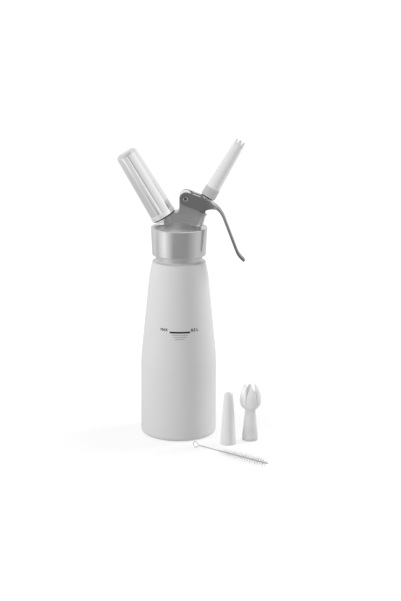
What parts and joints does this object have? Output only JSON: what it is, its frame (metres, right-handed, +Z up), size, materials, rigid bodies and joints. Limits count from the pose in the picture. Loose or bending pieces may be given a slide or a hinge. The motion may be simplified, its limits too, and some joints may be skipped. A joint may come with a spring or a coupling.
{
  "type": "cream whipper",
  "caption": "Cream whipper: tapered white flask with a screwed metal head, gas charger holder, lever valve and nozzle, with spare nozzles and a cleaning brush.",
  "frame": {"origin": "centre of the flask's foot, on the surface it stands on", "axes": "+Z up along the flask, +X towards the nozzle and the lever's handle, charger holder to -X"},
  "size_m": [0.157, 0.1647, 0.3173],
  "materials": {
    "white_lacquer": "satin",
    "head_aluminium": "satin",
    "holder_aluminium": "polished",
    "lever_steel": "satin",
    "adapter_metal": "satin",
    "steel": "satin",
    "charger_steel": "satin",
    "black_rubber": "matte",
    "clear_seal": "matte",
    "white_plastic": "satin",
    "brush_wire": "satin",
    "brush_nylon": "satin"
  },
  "bodies": {
    "bottle": {"bottle": "white_lacquer"},
    "head_gasket": {"head_gasket": "clear_seal"},
    "head": {"head_body": "head_aluminium", "holder_seal_ring": "black_rubber", "charger_gasket": "black_rubber", "pin_carrier": "steel", "piercing_pin": "steel", "stem_oring": "black_rubber", "valve_gland": "steel", "valve_spring": "steel", "pivot_pin": "steel", "pivot_clip": "steel"},
    "charger": {"gas_charger": "charger_steel"},
    "holder": {"charger_holder": "holder_aluminium"},
    "lever": {"lever": "lever_steel"},
    "valve": {"valve_stem": "steel", "valve_seal": "black_rubber"},
    "adapter_washer": {"adapter_washer": "black_rubber"},
    "adapter": {"nozzle_adapter": "adapter_metal"},
    "star_nozzle": {"star_nozzle": "white_plastic"},
    "plain_nozzle": {"plain_nozzle": "white_plastic"},
    "tulip_nozzle": {"tulip_nozzle": "white_plastic"},
    "brush": {"brush_wire": "brush_wire", "brush_bristles": "brush_nylon"}
  },
  "joints": [
    {"name": "head_rise", "type": "slide", "parent": "bottle", "child": "head_gasket", "axis": [0, 0, 1], "range_m": [0, 0.011]},
    {"name": "head_unscrew", "type": "hinge", "parent": "head_gasket", "child": "head", "pos_m": [0, 0, 0.213], "axis": [0, 0, 1], "range_deg": [0, 990]},
    {"name": "charger_rise", "type": "slide", "parent": "head", "child": "charger", "axis": [-0.515, 0, 0.8572], "range_m": [0, 0.0075]},
    {"name": "holder_unscrew", "type": "hinge", "parent": "charger", "child": "holder", "pos_m": [-0.01597, 0, 0.23557], "axis": [-0.515, 0, 0.8572], "range_deg": [0, 1350]},
    {"name": "lever_squeeze", "type": "hinge", "parent": "head", "child": "lever", "pos_m": [0.0067, 0, 0.2555], "axis": [0, 1, 0], "range_deg": [0, 11.6], "stiffness_Nm_per_rad": 1.2, "springref_deg": -17.19},
    {"name": "valve_travel", "type": "slide", "parent": "head", "child": "valve", "axis": [-0.5, 0, -0.866], "range_m": [0, 0.004], "deforming": ["valve_spring"]},
    {"name": "adapter_rise", "type": "slide", "parent": "valve", "child": "adapter_washer", "axis": [0.5, 0, 0.866], "range_m": [0, 0.0045]},
    {"name": "adapter_unscrew", "type": "hinge", "parent": "adapter_washer", "child": "adapter", "pos_m": [0.03008, 0, 0.25629], "axis": [0.5, 0, 0.866], "range_deg": [0, 1080]},
    {"name": "star_nozzle_pull", "type": "slide", "parent": "adapter", "child": "star_nozzle", "axis": [0.5, 0, 0.866], "range_m": [0, 0.02]},
    {"name": "plain_nozzle_lift", "type": "slide", "parent": "bottle", "child": "plain_nozzle", "axis": [0, 0, 1], "range_m": [0, 0.06]},
    {"name": "tulip_nozzle_lift", "type": "slide", "parent": "bottle", "child": "tulip_nozzle", "axis": [0, 0, 1], "range_m": [0, 0.06]},
    {"name": "brush_lift", "type": "slide", "parent": "bottle", "child": "brush", "axis": [0, 0, 1], "range_m": [0, 0.06]}
  ],
  "couplings": [
    {"joint": "head_rise", "follows": "head_unscrew", "m_per_rad": 0.00063661},
    {"joint": "charger_rise", "follows": "holder_unscrew", "m_per_rad": 0.00031831},
    {"joint": "adapter_rise", "follows": "adapter_unscrew", "m_per_rad": 0.00023873},
    {"joint": "valve_travel", "follows": "lever_squeeze", "m_per_rad": 0.0197}
  ]
}
